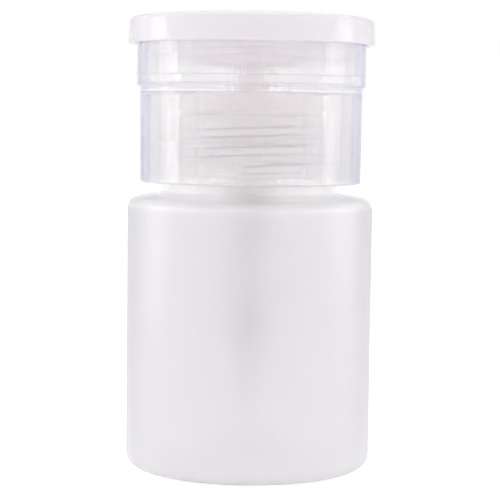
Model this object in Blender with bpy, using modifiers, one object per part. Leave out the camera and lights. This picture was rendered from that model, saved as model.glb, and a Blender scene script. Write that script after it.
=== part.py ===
"""Press-down nail polish remover pump on a small round bottle.

The bottle stands on its foot ring at z = 0 and every turned piece shares the Z axis. The closure screws
on the neck and clamps the pump on the lip. A shallow dish sits in the closure's band: a cotton pad
pushes it down against the return spring, and the piston below it lifts remover through the nozzle.
The flip lid swings on two trunnions behind the band (+Y). All sizes are real ones, in metres.
"""

import math

import bmesh
import bpy
from mathutils import Matrix, Vector

MM = 0.001

# Fits and facets
FIT = 0.3 * MM
RUNNING = 0.2 * MM
OVERRUN = 0.5 * MM
EMBED = 0.35 * MM
BIG_STEPS = 36
SMALL_STEPS = 24
ARC_SAG = 0.06 * MM
WELD = 0.01 * MM
SHARP_ANGLE = math.radians(35)

# Bottle: blow-moulded body with a shallow push-up, sloping shoulder, collar and threaded neck
BODY_RADIUS = 21.1 * MM
BOTTLE_WALL = 1.05 * MM
SHOULDER_HEIGHT = 46.3 * MM
SHOULDER_RISE = 1.05 * MM
SHOULDER_ROUND = 2.2 * MM
BASE_ROUND = 2.4 * MM
FOOT_WIDTH = 4.2 * MM
PUSH_UP = 0.9 * MM
PUSH_UP_SLOPE = 2.0 * MM
COLLAR_RADIUS = 14.95 * MM
COLLAR_HEIGHT = 2.15 * MM
NECK_RADIUS = 10.8 * MM
NECK_BORE = 9.0 * MM
NECK_HEIGHT = 10.6 * MM
NECK_ROUND = 0.4 * MM

# Neck thread, a 24 mm finish at eight turns to the inch
THREAD_PITCH = 3.175 * MM
THREAD_DEPTH = 1.3 * MM
THREAD_ROOT = 1.9 * MM
THREAD_CREST = 1.05 * MM
THREAD_DROP = 2.3 * MM
THREAD_TURNS_BELOW = 2.1
THREAD_TURNS_ABOVE = 0.25
THREAD_RUNOUT_TURNS = 0.12
THREAD_POINTS = 20

# Closure: outer skirt, threaded inner skirt, deck, band and hinge lugs in one moulding
SKIRT_RADIUS = 19.1 * MM
SKIRT_TAPER = 0.12 * MM
SKIRT_WALL = 1.1 * MM
SKIRT_LIFT = 1.65 * MM
INNER_BORE = 12.85 * MM
INNER_WALL = 1.15 * MM
INNER_LIFT = 0.6 * MM
DECK_WALL = 1.2 * MM
DECK_HOLE_GAP = 1.4 * MM
CEILING_ROUND = 0.9 * MM
EDGE_ROUND = 0.35 * MM
BAND_RADIUS = 19.65 * MM
BAND_TAPER = 0.1 * MM
BAND_WALL = 1.15 * MM
BAND_HEIGHT = 9.7 * MM
BAND_STEP = 0.45 * MM
LEDGE_WIDTH = 0.95 * MM
LEDGE_HEIGHT = 1.55 * MM
CLOSURE_THREAD_GAP = 0.4 * MM
CLOSURE_THREAD_PLAY = 0.37 * MM
CLOSURE_TURNS_BELOW = 1.25
CLOSURE_TURNS_ABOVE = 0.25
RIB_WIDTH = 1.0 * MM
RIB_DEPTH = 0.45 * MM
RIB_LENGTH = 6.3 * MM
RIB_OFFSET = 0.6 * MM

# Pump body: gasket, housing, chaplet and dip tube
GASKET_THICKNESS = 0.8 * MM
FLANGE_RADIUS = 10.9 * MM
FLANGE_THICKNESS = 1.2 * MM
CUP_BORE = 5.0 * MM
CUP_WALL = 0.9 * MM
CUP_DEPTH = 4.5 * MM
BARREL_BORE = 3.4 * MM
BARREL_WALL = 1.1 * MM
BARREL_DEPTH = 39.9 * MM
BARREL_CONE = 4.0 * MM
VENT_RADIUS = 0.5 * MM
VENT_DROP = 8.0 * MM
SEAT_WELL_DEPTH = 1.3 * MM
BALL_CHAMBER_DEPTH = 2.3 * MM
BALL_PASSAGE = 0.8 * MM
BALL_PASSAGE_LENGTH = 0.7 * MM
TUBE_RADIUS = 1.6 * MM
TUBE_WALL = 0.45 * MM
TUBE_SOCKET_DEPTH = 3.3 * MM
TUBE_SOCKET_WALL = 0.8 * MM
TUBE_LIFT = 1.25 * MM
TUBE_NOTCH = 1.1 * MM
CHAPLET_RADIUS = 8.0 * MM
CHAPLET_THICKNESS = 1.2 * MM
CHAPLET_WELL_DEPTH = 2.2 * MM
CHAPLET_WALL = 0.8 * MM
CHAPLET_SLEEVE_WALL = 1.0 * MM
CHAPLET_SLEEVE_LENGTH = 2.8 * MM

# Valve balls
BALL_RADIUS = 1.2 * MM
BALL_TRAVEL = 0.45 * MM
BALL_SEGMENTS = 16
BALL_RINGS = 10

# Return spring
SPRING_RADIUS = 1.5 * MM
SPRING_WIRE = 0.6 * MM
SPRING_CLOSED_GAP = 0.5 * MM
SPRING_TURNS_LOW = 4
SPRING_TURNS_OPEN = 6
SPRING_TURNS_TOP = 3
SPRING_POINTS = 8

# Moving stack: plunger, piston seal, stem, dish and nozzle cap
STROKE = 2.7 * MM
STEM_RADIUS = 1.9 * MM
STEM_BORE = 1.1 * MM
STEM_THROAT = 0.7 * MM
STEM_THROAT_LENGTH = 0.25 * MM
STEM_SEAT_RADIUS = 1.4 * MM
STEM_COLLAR_GAP = 0.35 * MM
STEM_COLLAR_HEIGHT = 1.2 * MM
STEM_TAIL = 8.0 * MM
PISTON_LENGTH = 3.9 * MM
PISTON_LIP = 0.8 * MM
PISTON_WAIST = 0.6 * MM
PLUNGER_ROD = 0.8 * MM
PLUNGER_HEAD = 2.6 * MM
PLUNGER_HEAD_HEIGHT = 0.7 * MM
PLUNGER_TAIL = 2.7 * MM
PLUNGER_REACH = 5.5 * MM
DISH_GAP = 0.35 * MM
DISH_WALL = 0.9 * MM
DISH_RIM_HEIGHT = 2.35 * MM
DISH_RIM_DROP = 0.4 * MM
DISH_FLOOR_RADIUS = 9.0 * MM
DISH_FILLET = 0.5 * MM
HUB_WALL = 1.0 * MM
BOSS_HEIGHT = 0.3 * MM
BOSS_WALL = 0.7 * MM
NOZZLE_SLEEVE_WALL = 0.4 * MM
NOZZLE_FLANGE_WIDTH = 1.0 * MM
NOZZLE_FLANGE_HEIGHT = 0.6 * MM
NOZZLE_WALL = 0.6 * MM
NOZZLE_HOLE = 0.45 * MM

# Flip lid
LID_RADIUS = 21.2 * MM
LID_TAPER = 0.15 * MM
LID_WALL = 1.15 * MM
LID_TOP_WALL = 1.3 * MM
LID_OVERLAP = 2.8 * MM
LID_CROWN = 1.5 * MM
LID_ROUND = 0.87 * MM
LID_CROWN_STEPS = 5
PLUG_RADIUS = 2.35 * MM
PLUG_WALL = 0.85 * MM
HINGE_SETBACK = 1.2 * MM
HINGE_DROP = 2.0 * MM
HINGE_BARREL = 0.9 * MM
HINGE_HALF_WIDTH = 2.3 * MM
TRUNNION_RADIUS = 0.5 * MM
LUG_WALL = 0.5 * MM
LUG_THICKNESS = 1.5 * MM
LUG_GUSSET = 2.6 * MM
LUG_EYE_STEPS = 10
LUG_EYE_SWEEP = math.radians(150)

# Heights up the axis, worked out from the sizes above
COLLAR_BASE = SHOULDER_HEIGHT + SHOULDER_RISE
COLLAR_TOP = COLLAR_BASE + COLLAR_HEIGHT
LIP = COLLAR_TOP + NECK_HEIGHT
GASKET_BASE = LIP + FIT
FLANGE_BASE = GASKET_BASE + GASKET_THICKNESS + FIT
FLANGE_TOP = FLANGE_BASE + FLANGE_THICKNESS
CHAPLET_BASE = FLANGE_TOP + FIT
CHAPLET_TOP = CHAPLET_BASE + CHAPLET_THICKNESS
DECK_BASE = CHAPLET_TOP + FIT
DECK_TOP = DECK_BASE + DECK_WALL
BAND_TOP = DECK_TOP + BAND_HEIGHT
LEDGE_TOP = DECK_TOP + LEDGE_HEIGHT
WELL_FLOOR = CHAPLET_TOP - CHAPLET_WELL_DEPTH
WELL_BASE = WELL_FLOOR - CHAPLET_THICKNESS
SLEEVE_END = WELL_BASE - CHAPLET_SLEEVE_LENGTH
DISH_LOW = DECK_TOP + FIT + STROKE
DISH_RIM_BASE = LEDGE_TOP + FIT + STROKE
HUB_BASE = WELL_FLOOR + FIT + STROKE
BOSS_TOP = DISH_LOW + DISH_WALL + BOSS_HEIGHT
NOZZLE_BASE = BOSS_TOP + FIT
STEM_TOP = DISH_LOW + FIT
STEM_COLLAR_TOP = SLEEVE_END - FIT
STEM_BASE = STEM_COLLAR_TOP - STEM_COLLAR_HEIGHT - STEM_TAIL
PISTON_TOP = STEM_BASE - FIT
PISTON_BASE = PISTON_TOP - PISTON_LENGTH
PLUNGER_HEAD_TOP = PISTON_BASE - FIT
PLUNGER_HEAD_BASE = PLUNGER_HEAD_TOP - PLUNGER_HEAD_HEIGHT
SPRING_TOP = PLUNGER_HEAD_BASE - FIT
SPRING_SEAT = FLANGE_BASE - BARREL_DEPTH
SPRING_BASE = SPRING_SEAT + FIT
BALL_CONE_TOP = SPRING_SEAT - BALL_CHAMBER_DEPTH
LID_CEILING = BAND_TOP + FIT
LID_EDGE = LID_CEILING + LID_TOP_WALL
LID_BASE = BAND_TOP - LID_OVERLAP
HINGE_HEIGHT = LID_BASE - HINGE_DROP

# Radii worked out from the sizes above
BAND_BORE = BAND_RADIUS - BAND_WALL
DISH_RADIUS = BAND_BORE - DISH_GAP
HUB_BORE = STEM_RADIUS + FIT
HUB_RADIUS = HUB_BORE + HUB_WALL
DECK_HOLE = HUB_RADIUS + DECK_HOLE_GAP
BALL_CHAMBER = BALL_RADIUS + FIT
LID_BORE = LID_RADIUS - LID_WALL
HINGE_REACH = BAND_RADIUS + HINGE_SETBACK
LUG_HOLE = TRUNNION_RADIUS + RUNNING
LUG_RADIUS = LUG_HOLE + LUG_WALL


for leftover in list(bpy.data.objects):
    bpy.data.objects.remove(leftover, do_unlink=True)

parts = bpy.data.collections.new("nail_polish_remover_pump")
bpy.context.scene.collection.children.link(parts)
cutters = bpy.data.collections.new("cutters")
bpy.context.scene.collection.children.link(cutters)


def plastic(name, colour, roughness, metallic=0.0, transmission=0.0):
    """Principled material with the piece's colour, roughness and metallic value."""
    material = bpy.data.materials.new(name)
    material.use_nodes = True
    surface = material.node_tree.nodes["Principled BSDF"]
    surface.inputs["Base Color"].default_value = (*colour, 1.0)
    surface.inputs["Roughness"].default_value = roughness
    surface.inputs["Metallic"].default_value = metallic
    surface.inputs["Transmission Weight"].default_value = transmission
    material.diffuse_color = (*colour, 1.0)
    return material


def place(name, mesh, material, collection=parts):
    """Object for a finished mesh, shaded smooth with its hard edges kept sharp."""
    mesh.name = name
    if material is not None:
        mesh.materials.clear()
        mesh.materials.append(material)
    mesh.shade_smooth()
    mesh.set_sharp_from_angle(angle=SHARP_ANGLE)
    piece = bpy.data.objects.new(name, mesh)
    collection.objects.link(piece)
    if collection is cutters:
        piece.hide_render = True
        piece.display_type = "WIRE"
    return piece


def rounded(corners):
    """Outline through (radius, height, rounding) corners, with each rounding drawn as an arc."""
    outline = []
    for index, (radius, height, rounding) in enumerate(corners):
        corner = Vector((radius, height))
        if rounding == 0:
            outline.append(corner)
            continue
        to_last = (Vector(corners[index - 1][:2]) - corner).normalized()
        to_next = (Vector(corners[(index + 1) % len(corners)][:2]) - corner).normalized()
        half = to_last.angle(to_next) / 2
        centre = corner + (to_last + to_next).normalized() * (rounding / math.sin(half))
        setback = rounding / math.tan(half)
        first = corner + to_last * setback - centre
        last = corner + to_next * setback - centre
        sweep = math.atan2(first.x * last.y - first.y * last.x, first.dot(last))
        steps = math.ceil(abs(sweep) / (2 * math.acos(1 - ARC_SAG / rounding)))
        for step in range(steps + 1):
            outline.append(centre + Matrix.Rotation(sweep * step / steps, 2) @ first)
    return outline


def turned(name, corners, material, steps=SMALL_STEPS, ring=True, collection=parts):
    """Piece turned about Z from its section: down the outer side, then back up the inner one."""
    outline = rounded(corners)
    mesh = bpy.data.meshes.new(name)
    edges = [(index, index + 1) for index in range(len(outline) - 1)]
    if ring:
        edges.append((len(outline) - 1, 0))
    mesh.from_pydata([(point.x, 0, point.y) for point in outline], edges, [])
    piece = place(name, mesh, material, collection)
    screw = piece.modifiers.new("turn", "SCREW")
    screw.steps = steps
    screw.render_steps = steps
    screw.use_merge_vertices = True
    screw.merge_threshold = WELD
    screw.use_smooth_shade = True
    return piece


def as_mesh(curve_object, name):
    """Closed mesh object of a curve, with its loose caps welded, in the cutters' collection."""
    bpy.context.view_layer.update()
    evaluated = curve_object.evaluated_get(bpy.context.evaluated_depsgraph_get())
    mesh = bpy.data.meshes.new_from_object(evaluated)
    shape = bmesh.new()
    shape.from_mesh(mesh)
    bmesh.ops.remove_doubles(shape, verts=shape.verts, dist=WELD)
    bmesh.ops.recalc_face_normals(shape, faces=shape.faces)
    shape.to_mesh(mesh)
    shape.free()
    piece = place(name, mesh, None, cutters)
    piece.matrix_world = curve_object.matrix_world
    bpy.data.objects.remove(curve_object, do_unlink=True)
    return piece


def poly_curve(name, points, closed=False, flat=False):
    """Curve object with one straight-segment spline through the points."""
    curve = bpy.data.curves.new(name, "CURVE")
    curve.dimensions = "2D" if flat else "3D"
    spline = curve.splines.new("POLY")
    spline.points.add(len(points) - 1)
    for target, point in zip(spline.points, points):
        target.co = (*point, 1.0)
    spline.use_cyclic_u = closed
    curve_object = bpy.data.objects.new(name, curve)
    cutters.objects.link(curve_object)
    return curve_object


def plate_across_x(name, outline, thickness, centre):
    """Flat plate of a (y, z) outline, standing across the X axis at the given x."""
    flat = poly_curve(name, [(y, z, 0) for y, z in outline], closed=True, flat=True)
    flat.data.fill_mode = "BOTH"
    flat.data.extrude = thickness / 2
    flat.matrix_world = Matrix(((0, 0, 1, centre), (1, 0, 0, 0), (0, 1, 0, 0), (0, 0, 0, 1)))
    return as_mesh(flat, name)


def rod_across_x(name, radius, length, centre_x, y, z, steps=SMALL_STEPS):
    """Closed cylinder lying along the X axis."""
    mesh = bpy.data.meshes.new(name)
    shape = bmesh.new()
    turn = Matrix.Translation((centre_x, y, z)) @ Matrix.Rotation(math.pi / 2, 4, "Y")
    bmesh.ops.create_cone(
        shape, cap_ends=True, segments=steps, radius1=radius, radius2=radius, depth=length, matrix=turn
    )
    shape.to_mesh(mesh)
    shape.free()
    return place(name, mesh, None, cutters)


def block(name, size, centre, tilt=0.0):
    """Closed box of the given size, turned about the X axis by tilt."""
    mesh = bpy.data.meshes.new(name)
    shape = bmesh.new()
    turn = Matrix.Translation(centre) @ Matrix.Rotation(tilt, 4, "X") @ Matrix.Diagonal((*size, 1.0))
    bmesh.ops.create_cube(shape, size=1.0, matrix=turn)
    shape.to_mesh(mesh)
    shape.free()
    return place(name, mesh, None, cutters)


def combine(piece, tool, operation):
    """Boolean of a tool on a piece: UNION joins it on, DIFFERENCE cuts it away."""
    boolean = piece.modifiers.new(tool.name, "BOOLEAN")
    boolean.operation = operation
    boolean.object = tool


def thread_ridge(name, path_radius, section, front_height, turns_below, turns_above):
    """Helical ridge that crosses the front (-Y) at front_height and tapers away at both ends."""
    count = round((turns_below + turns_above) * THREAD_POINTS)
    points = []
    for index in range(count + 1):
        turn = -turns_below + (turns_below + turns_above) * index / count
        angle = 2 * math.pi * turn - math.pi / 2
        height = front_height + THREAD_PITCH * turn
        points.append((path_radius * math.cos(angle), path_radius * math.sin(angle), height))
    outline = poly_curve(name + "_section", [(out, up, 0) for out, up in section], closed=True, flat=True)
    ridge = poly_curve(name, points)
    ridge.data.twist_mode = "Z_UP"
    ridge.data.bevel_mode = "OBJECT"
    ridge.data.bevel_object = outline
    ridge.data.use_fill_caps = True
    runout = THREAD_RUNOUT_TURNS * THREAD_POINTS
    for index, point in enumerate(ridge.data.splines[0].points):
        point.radius = min(1.0, (min(index, count - index) + 1) / (runout + 1))
    closed_ridge = as_mesh(ridge, name)
    bpy.data.objects.remove(outline, do_unlink=True)
    return closed_ridge


def ball_height(apex_height):
    """Centre height of a ball held one fit clear of a 45 degree cone with its point at apex_height."""
    return apex_height + (BALL_RADIUS + FIT) * math.sqrt(2)


natural = plastic("natural_polypropylene", (0.86, 0.87, 0.90), 0.25, transmission=0.6)
bottle_plastic = plastic("frosted_polyethylene", (0.88, 0.86, 0.89), 0.45, transmission=0.5)
pump_plastic = plastic("pump_polypropylene", (0.82, 0.83, 0.86), 0.35, transmission=0.4)
tube_plastic = plastic("tube_polyethylene", (0.88, 0.88, 0.90), 0.4, transmission=0.5)
seal_plastic = plastic("seal_polyethylene", (0.84, 0.84, 0.86), 0.5)
foam = plastic("gasket_foam", (0.90, 0.89, 0.87), 0.8)
spring_steel = plastic("spring_steel", (0.42, 0.43, 0.45), 0.3, metallic=1.0)
ball_steel = plastic("ball_steel", (0.50, 0.51, 0.53), 0.15, metallic=1.0)


def make_bottle():
    """Bottle of even wall, threaded on its neck."""
    foot_bore = BODY_RADIUS - BASE_ROUND - FOOT_WIDTH
    push_up_radius = foot_bore - PUSH_UP_SLOPE
    bottle = turned(
        "bottle",
        [
            (0, PUSH_UP + BOTTLE_WALL, 0),
            (push_up_radius, PUSH_UP + BOTTLE_WALL, 0),
            (foot_bore, BOTTLE_WALL, 0),
            (BODY_RADIUS - BOTTLE_WALL, BOTTLE_WALL, BASE_ROUND - BOTTLE_WALL),
            (BODY_RADIUS - BOTTLE_WALL, SHOULDER_HEIGHT - BOTTLE_WALL, SHOULDER_ROUND - BOTTLE_WALL),
            (COLLAR_RADIUS - BOTTLE_WALL, COLLAR_BASE - BOTTLE_WALL, 0),
            (COLLAR_RADIUS - BOTTLE_WALL, COLLAR_TOP - BOTTLE_WALL, NECK_ROUND),
            (NECK_BORE, COLLAR_TOP - BOTTLE_WALL, 0),
            (NECK_BORE, LIP, 0),
            (NECK_RADIUS, LIP, NECK_ROUND),
            (NECK_RADIUS, COLLAR_TOP, NECK_ROUND),
            (COLLAR_RADIUS, COLLAR_TOP, NECK_ROUND),
            (COLLAR_RADIUS, COLLAR_BASE, NECK_ROUND),
            (BODY_RADIUS, SHOULDER_HEIGHT, SHOULDER_ROUND),
            (BODY_RADIUS, 0, BASE_ROUND),
            (foot_bore, 0, 0),
            (push_up_radius, PUSH_UP, 0),
            (0, PUSH_UP, 0),
        ],
        bottle_plastic,
        BIG_STEPS,
        ring=False,
    )
    flank = (THREAD_ROOT - THREAD_CREST) / 2 / THREAD_DEPTH
    root = THREAD_ROOT / 2 + flank * EMBED
    crest = THREAD_CREST / 2
    reach = THREAD_DEPTH + EMBED
    ridge = thread_ridge(
        "neck_thread",
        NECK_RADIUS - EMBED,
        [(0, -root), (reach, -crest), (reach, crest), (0, root)],
        LIP - THREAD_DROP,
        THREAD_TURNS_BELOW,
        THREAD_TURNS_ABOVE,
    )
    combine(bottle, ridge, "UNION")
    return bottle


def make_closure():
    """Closure with its inner thread half a pitch from the neck's, and two lugs for the lid."""
    closure = turned(
        "closure",
        [
            (BAND_RADIUS - BAND_TAPER, BAND_TOP, EDGE_ROUND),
            (BAND_RADIUS, DECK_TOP, 0),
            (SKIRT_RADIUS, DECK_TOP - BAND_STEP, 0),
            (SKIRT_RADIUS - SKIRT_TAPER, COLLAR_BASE + SKIRT_LIFT, EDGE_ROUND),
            (SKIRT_RADIUS - SKIRT_WALL, COLLAR_BASE + SKIRT_LIFT, EDGE_ROUND),
            (SKIRT_RADIUS - SKIRT_WALL, DECK_BASE, CEILING_ROUND),
            (INNER_BORE + INNER_WALL, DECK_BASE, CEILING_ROUND),
            (INNER_BORE + INNER_WALL, COLLAR_TOP + INNER_LIFT, EDGE_ROUND),
            (INNER_BORE, COLLAR_TOP + INNER_LIFT, EDGE_ROUND),
            (INNER_BORE, DECK_BASE, CEILING_ROUND),
            (DECK_HOLE, DECK_BASE, 0),
            (DECK_HOLE, DECK_TOP, 0),
            (BAND_BORE - LEDGE_WIDTH, DECK_TOP, BAND_STEP),
            (BAND_BORE - LEDGE_WIDTH, LEDGE_TOP, 0),
            (BAND_BORE, LEDGE_TOP, 0),
            (BAND_BORE, BAND_TOP, EDGE_ROUND),
        ],
        natural,
        BIG_STEPS,
    )
    flank = (THREAD_ROOT - THREAD_CREST) / 2 / THREAD_DEPTH
    crest_radius = NECK_RADIUS + CLOSURE_THREAD_GAP
    neck_width = THREAD_ROOT - 2 * flank * CLOSURE_THREAD_GAP
    crest = (THREAD_PITCH - neck_width) / 2 - CLOSURE_THREAD_PLAY
    reach = INNER_BORE + EMBED - crest_radius
    root = crest + flank * reach
    ridge = thread_ridge(
        "closure_thread",
        INNER_BORE + EMBED,
        [(0, -root), (0, root), (-reach, crest), (-reach, -crest)],
        LIP - THREAD_DROP - THREAD_PITCH / 2,
        CLOSURE_TURNS_BELOW,
        CLOSURE_TURNS_ABOVE,
    )
    combine(closure, ridge, "UNION")
    rib_depth = RIB_DEPTH + EMBED
    rib_middle = INNER_BORE + EMBED - rib_depth / 2
    rib = block(
        "closure_rib",
        (RIB_WIDTH, rib_depth, RIB_LENGTH + EMBED),
        (RIB_OFFSET, -rib_middle, DECK_BASE + (EMBED - RIB_LENGTH) / 2),
    )
    combine(closure, rib, "UNION")
    for side, label in ((-1, "left"), (1, "right")):
        offset = side * (HINGE_HALF_WIDTH + FIT + LUG_THICKNESS / 2)
        wall = math.sqrt((BAND_RADIUS - BAND_WALL / 2) ** 2 - offset**2)
        eye = []
        for step in range(LUG_EYE_STEPS + 1):
            angle = math.pi / 2 - LUG_EYE_SWEEP * step / LUG_EYE_STEPS
            out = HINGE_REACH + LUG_RADIUS * math.cos(angle)
            up = HINGE_HEIGHT + LUG_RADIUS * math.sin(angle)
            eye.append((out, up))
        outline = [(wall, HINGE_HEIGHT + LUG_RADIUS), *eye, (wall, HINGE_HEIGHT - LUG_RADIUS - LUG_GUSSET)]
        lug = plate_across_x("lug_" + label, outline, LUG_THICKNESS, offset)
        combine(closure, lug, "UNION")
        hole = rod_across_x(
            "lug_hole_" + label,
            LUG_HOLE,
            LUG_THICKNESS + 2 * OVERRUN,
            offset,
            HINGE_REACH,
            HINGE_HEIGHT,
        )
        combine(closure, hole, "DIFFERENCE")
    return closure


def make_gasket():
    """Foam washer between the bottle's lip and the pump's flange."""
    top = GASKET_BASE + GASKET_THICKNESS
    bore = CUP_BORE + CUP_WALL + FIT
    section = [
        (FLANGE_RADIUS, top, 0),
        (FLANGE_RADIUS, GASKET_BASE, 0),
        (bore, GASKET_BASE, 0),
        (bore, top, 0),
    ]
    return turned("neck_gasket", section, foam, BIG_STEPS)


def make_housing():
    """Pump cylinder hung by its flange: cup, barrel, spring seat, ball seat and tube socket."""
    barrel = BARREL_BORE + BARREL_WALL
    cup = CUP_BORE + CUP_WALL
    cup_base = FLANGE_BASE - CUP_DEPTH
    well = SPRING_RADIUS + SPRING_WIRE / 2 + FIT
    well_top = SPRING_SEAT + SEAT_WELL_DEPTH
    cone_top = well_top + BARREL_BORE - well
    passage_top = BALL_CONE_TOP - (BALL_CHAMBER - BALL_PASSAGE)
    socket_top = passage_top - BALL_PASSAGE_LENGTH
    socket_base = socket_top - TUBE_SOCKET_DEPTH
    socket_bore = TUBE_RADIUS + FIT
    socket = socket_bore + TUBE_SOCKET_WALL
    housing = turned(
        "pump_housing",
        [
            (FLANGE_RADIUS, FLANGE_TOP, 0),
            (FLANGE_RADIUS, FLANGE_BASE, 0),
            (cup, FLANGE_BASE, EDGE_ROUND),
            (cup, cup_base, 0),
            (barrel, cup_base - (cup - barrel), 0),
            (barrel, cone_top, 0),
            (socket, cone_top - BARREL_CONE, 0),
            (socket, socket_base, EDGE_ROUND),
            (socket_bore, socket_base, 0),
            (socket_bore, socket_top, 0),
            (BALL_PASSAGE, socket_top, 0),
            (BALL_PASSAGE, passage_top, 0),
            (BALL_CHAMBER, BALL_CONE_TOP, 0),
            (BALL_CHAMBER, SPRING_SEAT, 0),
            (well, SPRING_SEAT, 0),
            (well, well_top, 0),
            (BARREL_BORE, cone_top, 0),
            (BARREL_BORE, cup_base - (CUP_BORE - BARREL_BORE) / 2, 0),
            (CUP_BORE, cup_base + (CUP_BORE - BARREL_BORE) / 2, 0),
            (CUP_BORE, FLANGE_TOP, 0),
        ],
        pump_plastic,
        SMALL_STEPS,
    )
    vent = rod_across_x(
        "vent_hole", VENT_RADIUS, 2 * BARREL_WALL, BARREL_BORE + BARREL_WALL / 2, 0, FLANGE_BASE - VENT_DROP
    )
    combine(housing, vent, "DIFFERENCE")
    return housing


def make_chaplet():
    """Flanged cup that closes the housing, stops the stem's collar and guides the stem."""
    well = CUP_BORE - FIT - CHAPLET_WALL
    guide = STEM_RADIUS + FIT
    section = [
        (CHAPLET_RADIUS, CHAPLET_TOP, 0),
        (CHAPLET_RADIUS, CHAPLET_BASE, 0),
        (CUP_BORE - FIT, CHAPLET_BASE, 0),
        (CUP_BORE - FIT, WELL_BASE, EDGE_ROUND),
        (guide + CHAPLET_SLEEVE_WALL, WELL_BASE, 0),
        (guide + CHAPLET_SLEEVE_WALL, SLEEVE_END, 0),
        (guide, SLEEVE_END, 0),
        (guide, WELL_FLOOR, 0),
        (well, WELL_FLOOR, 0),
        (well, CHAPLET_TOP, 0),
    ]
    return turned("chaplet", section, pump_plastic)


def make_dip_tube():
    """Straight suction tube, notched at its foot so the floor can't seal it."""
    passage_top = BALL_CONE_TOP - (BALL_CHAMBER - BALL_PASSAGE)
    top = passage_top - BALL_PASSAGE_LENGTH - FIT
    foot = PUSH_UP + BOTTLE_WALL + TUBE_LIFT
    bore = TUBE_RADIUS - TUBE_WALL
    section = [(TUBE_RADIUS, top, 0), (TUBE_RADIUS, foot, 0), (bore, foot, 0), (bore, top, 0)]
    tube = turned("dip_tube", section, tube_plastic)
    notch = block(
        "tube_notch",
        (2 * TUBE_RADIUS + 2 * OVERRUN, TUBE_NOTCH, TUBE_NOTCH),
        (0, 0, foot),
        tilt=math.radians(45),
    )
    combine(tube, notch, "DIFFERENCE")
    return tube


def make_ball(name, height):
    """Steel valve ball centred on the axis."""
    mesh = bpy.data.meshes.new(name)
    shape = bmesh.new()
    bmesh.ops.create_uvsphere(shape, u_segments=BALL_SEGMENTS, v_segments=BALL_RINGS, radius=BALL_RADIUS)
    shape.to_mesh(mesh)
    shape.free()
    ball = place(name, mesh, ball_steel)
    ball.location = (0, 0, height)
    return ball


def make_spring():
    """Return spring: closed turns at both ends and open ones between, from one unbroken wire."""
    closed_pitch = SPRING_WIRE + SPRING_CLOSED_GAP
    length = SPRING_TOP - SPRING_BASE - SPRING_WIRE
    open_length = length - closed_pitch * (SPRING_TURNS_LOW + SPRING_TURNS_TOP)
    stretches = (
        (SPRING_TURNS_LOW, closed_pitch),
        (SPRING_TURNS_OPEN, open_length / SPRING_TURNS_OPEN),
        (SPRING_TURNS_TOP, closed_pitch),
    )
    height = SPRING_WIRE / 2
    points = [(SPRING_RADIUS, 0, height)]
    for turns, pitch in stretches:
        for _ in range(turns * SPRING_POINTS):
            height += pitch / SPRING_POINTS
            angle = 2 * math.pi * len(points) / SPRING_POINTS
            points.append((SPRING_RADIUS * math.cos(angle), SPRING_RADIUS * math.sin(angle), height))
    coil = poly_curve("return_spring_wire", points)
    coil.data.bevel_depth = SPRING_WIRE / 2
    coil.data.bevel_resolution = 1
    coil.data.use_fill_caps = True
    spring = as_mesh(coil, "return_spring")
    cutters.objects.unlink(spring)
    parts.objects.link(spring)
    spring.hide_render = False
    spring.display_type = "TEXTURED"
    spring.data.materials.append(spring_steel)
    spring.location = (0, 0, SPRING_BASE)
    gap = min(
        (Vector(first) - Vector(second)).length - SPRING_WIRE
        for start, first in enumerate(points)
        for second in points[start + SPRING_POINTS // 2:]
    )
    print(f"return_spring: least gap between turns {gap / MM:.2f} mm")
    return spring


def make_plunger():
    """Plunger whose head takes the spring's push and whose rod reaches up into the stem."""
    tip = STEM_BASE + PLUNGER_REACH
    tail = PLUNGER_HEAD_BASE - PLUNGER_TAIL
    section = [
        (0, tip, 0),
        (PLUNGER_ROD, tip, FIT),
        (PLUNGER_ROD, PLUNGER_HEAD_TOP, 0),
        (PLUNGER_HEAD, PLUNGER_HEAD_TOP, 0),
        (PLUNGER_HEAD, PLUNGER_HEAD_BASE, 0),
        (PLUNGER_ROD, PLUNGER_HEAD_BASE, 0),
        (PLUNGER_ROD, tail, FIT),
        (0, tail, 0),
    ]
    return turned("plunger", section, pump_plastic, ring=False)


def make_piston():
    """Piston seal with a lip at each end and a waist between."""
    lip = BARREL_BORE - FIT
    waist = lip - PISTON_WAIST
    bore = PLUNGER_ROD + FIT
    section = [
        (lip, PISTON_TOP, 0),
        (lip, PISTON_TOP - PISTON_LIP, 0),
        (waist, PISTON_TOP - PISTON_LIP - PISTON_WAIST, 0),
        (waist, PISTON_BASE + PISTON_LIP + PISTON_WAIST, 0),
        (lip, PISTON_BASE + PISTON_LIP, 0),
        (lip, PISTON_BASE, 0),
        (bore, PISTON_BASE, 0),
        (bore, PISTON_TOP, 0),
    ]
    return turned("piston_seal", section, seal_plastic)


def make_stem():
    """Hollow stem: collar that meets the chaplet at rest, throat and ball seat at its top."""
    collar = BARREL_BORE - STEM_COLLAR_GAP
    collar_base = STEM_COLLAR_TOP - STEM_COLLAR_HEIGHT
    seat_base = STEM_TOP - (STEM_SEAT_RADIUS - STEM_THROAT)
    throat_base = seat_base - STEM_THROAT_LENGTH
    section = [
        (STEM_RADIUS, STEM_TOP, 0),
        (STEM_RADIUS, STEM_COLLAR_TOP, 0),
        (collar, STEM_COLLAR_TOP, 0),
        (collar, collar_base, 0),
        (STEM_RADIUS, collar_base, 0),
        (STEM_RADIUS, STEM_BASE, 0),
        (STEM_BORE, STEM_BASE, 0),
        (STEM_BORE, throat_base - (STEM_BORE - STEM_THROAT), 0),
        (STEM_THROAT, throat_base, 0),
        (STEM_THROAT, seat_base, 0),
        (STEM_SEAT_RADIUS, STEM_TOP, 0),
    ]
    return turned("pump_stem", section, pump_plastic)


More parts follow.
